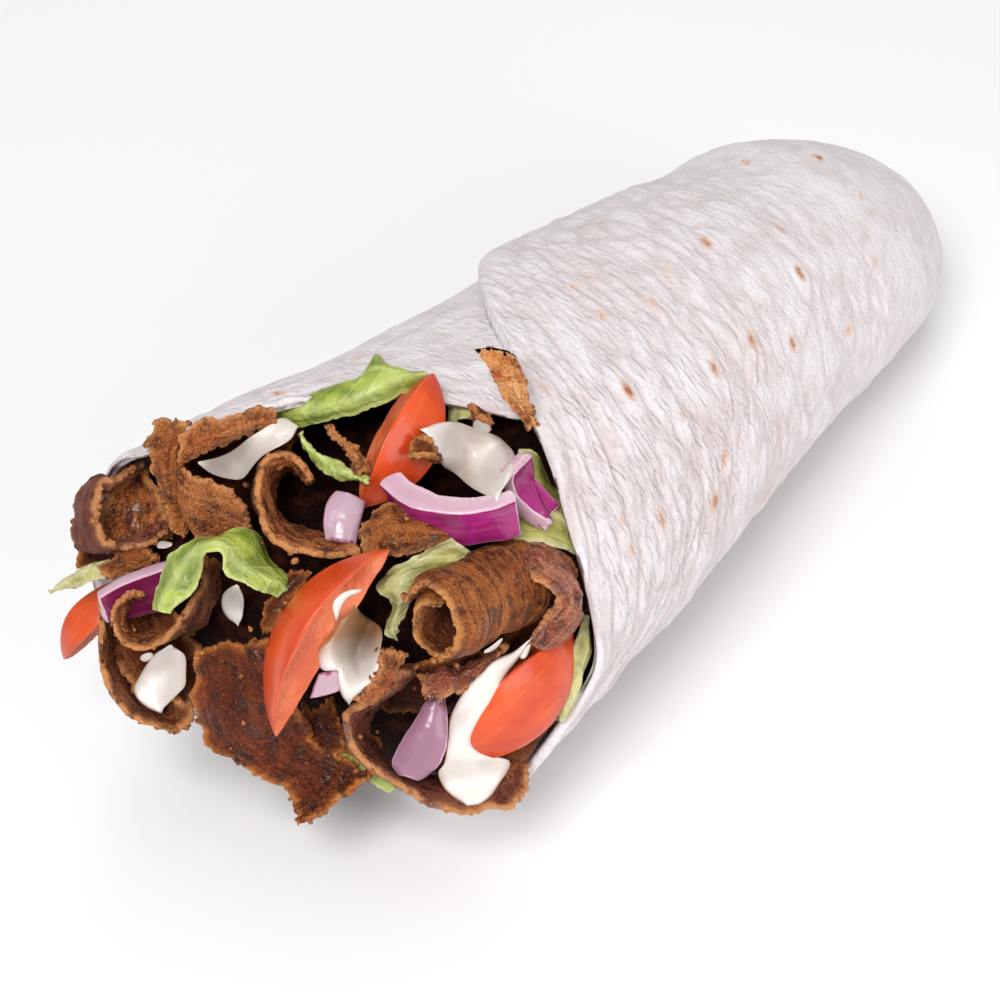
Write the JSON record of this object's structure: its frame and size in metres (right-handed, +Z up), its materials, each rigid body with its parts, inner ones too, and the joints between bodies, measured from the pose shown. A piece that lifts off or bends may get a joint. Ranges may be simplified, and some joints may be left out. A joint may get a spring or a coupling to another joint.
{
  "type": "doner kebab wrap",
  "caption": "Rolled flour tortilla with a folded far end and a slanting open mouth full of curled roast meat slices, tomato, red onion, lettuce and white sauce.",
  "frame": {"origin": "on the flat strip of the tortilla's underside, below the roll's axis, where the roll is 73 mm wide", "axes": "+X along the roll from the open mouth to the folded end, +Z up, -Y the side that the outer flap covers"},
  "size_m": [0.2175, 0.0851, 0.0763],
  "materials": {
    "tortilla": "matte soft wheat flatbread, creamy white with small toasted spots and fine wrinkles",
    "filling": "dark moist packed shreds of meat and salad",
    "meat": "roasted brown, rough and grainy, slightly greasy, edges crisp and lighter orange brown",
    "tomato": "wet glossy orange red skin, paler moist flesh",
    "onion": "moist, purple skin side with pale lilac cut faces",
    "lettuce": "thin ruffled leaf, light yellow green, waxy",
    "sauce": "thick smooth creamy white sauce, glossy"
  },
  "bodies": {
    "root": {"tortilla_wrap": "tortilla", "packed_filling": "filling", "meat_roll_tight": "meat", "meat_curl_hollow": "meat", "meat_slice_hanging": "meat", "meat_channel_right": "meat", "meat_cup_far_left": "meat", "meat_curl_saucy_front": "meat", "meat_curl_saucy_back": "meat", "meat_cup_lower_left": "meat", "meat_hook_left": "meat", "meat_fold_right": "meat", "meat_strip_back_left": "meat", "meat_flat_centre": "meat", "meat_strip_under_roll": "meat", "meat_scrap_left": "meat", "meat_shard_crisp": "meat", "meat_crumb_top": "meat", "meat_splinter_back": "meat", "meat_crumb_centre": "meat", "meat_scrap_middle": "meat", "meat_scrap_rim": "meat", "meat_scrap_low": "meat", "tomato_wedge_front": "tomato", "tomato_wedge_back": "tomato", "tomato_wedge_right": "tomato", "tomato_wedge_left": "tomato", "onion_arc_centre": "onion", "onion_arc_top_right": "onion", "onion_chip_hollow": "onion", "onion_arc_left": "onion", "onion_chip_lower": "onion", "onion_chip_small": "onion", "lettuce_top": "lettuce", "lettuce_sliver": "lettuce", "lettuce_curl": "lettuce", "lettuce_tip_left": "lettuce", "lettuce_centre": "lettuce", "lettuce_right": "lettuce", "lettuce_edge_right": "lettuce", "lettuce_behind": "lettuce", "lettuce_low": "lettuce", "sauce_pool_top": "sauce", "sauce_flow_right": "sauce", "sauce_dollop_left": "sauce", "sauce_on_tomato": "sauce", "sauce_pool_back": "sauce", "sauce_drip_middle": "sauce"}
  },
  "joints": []
}
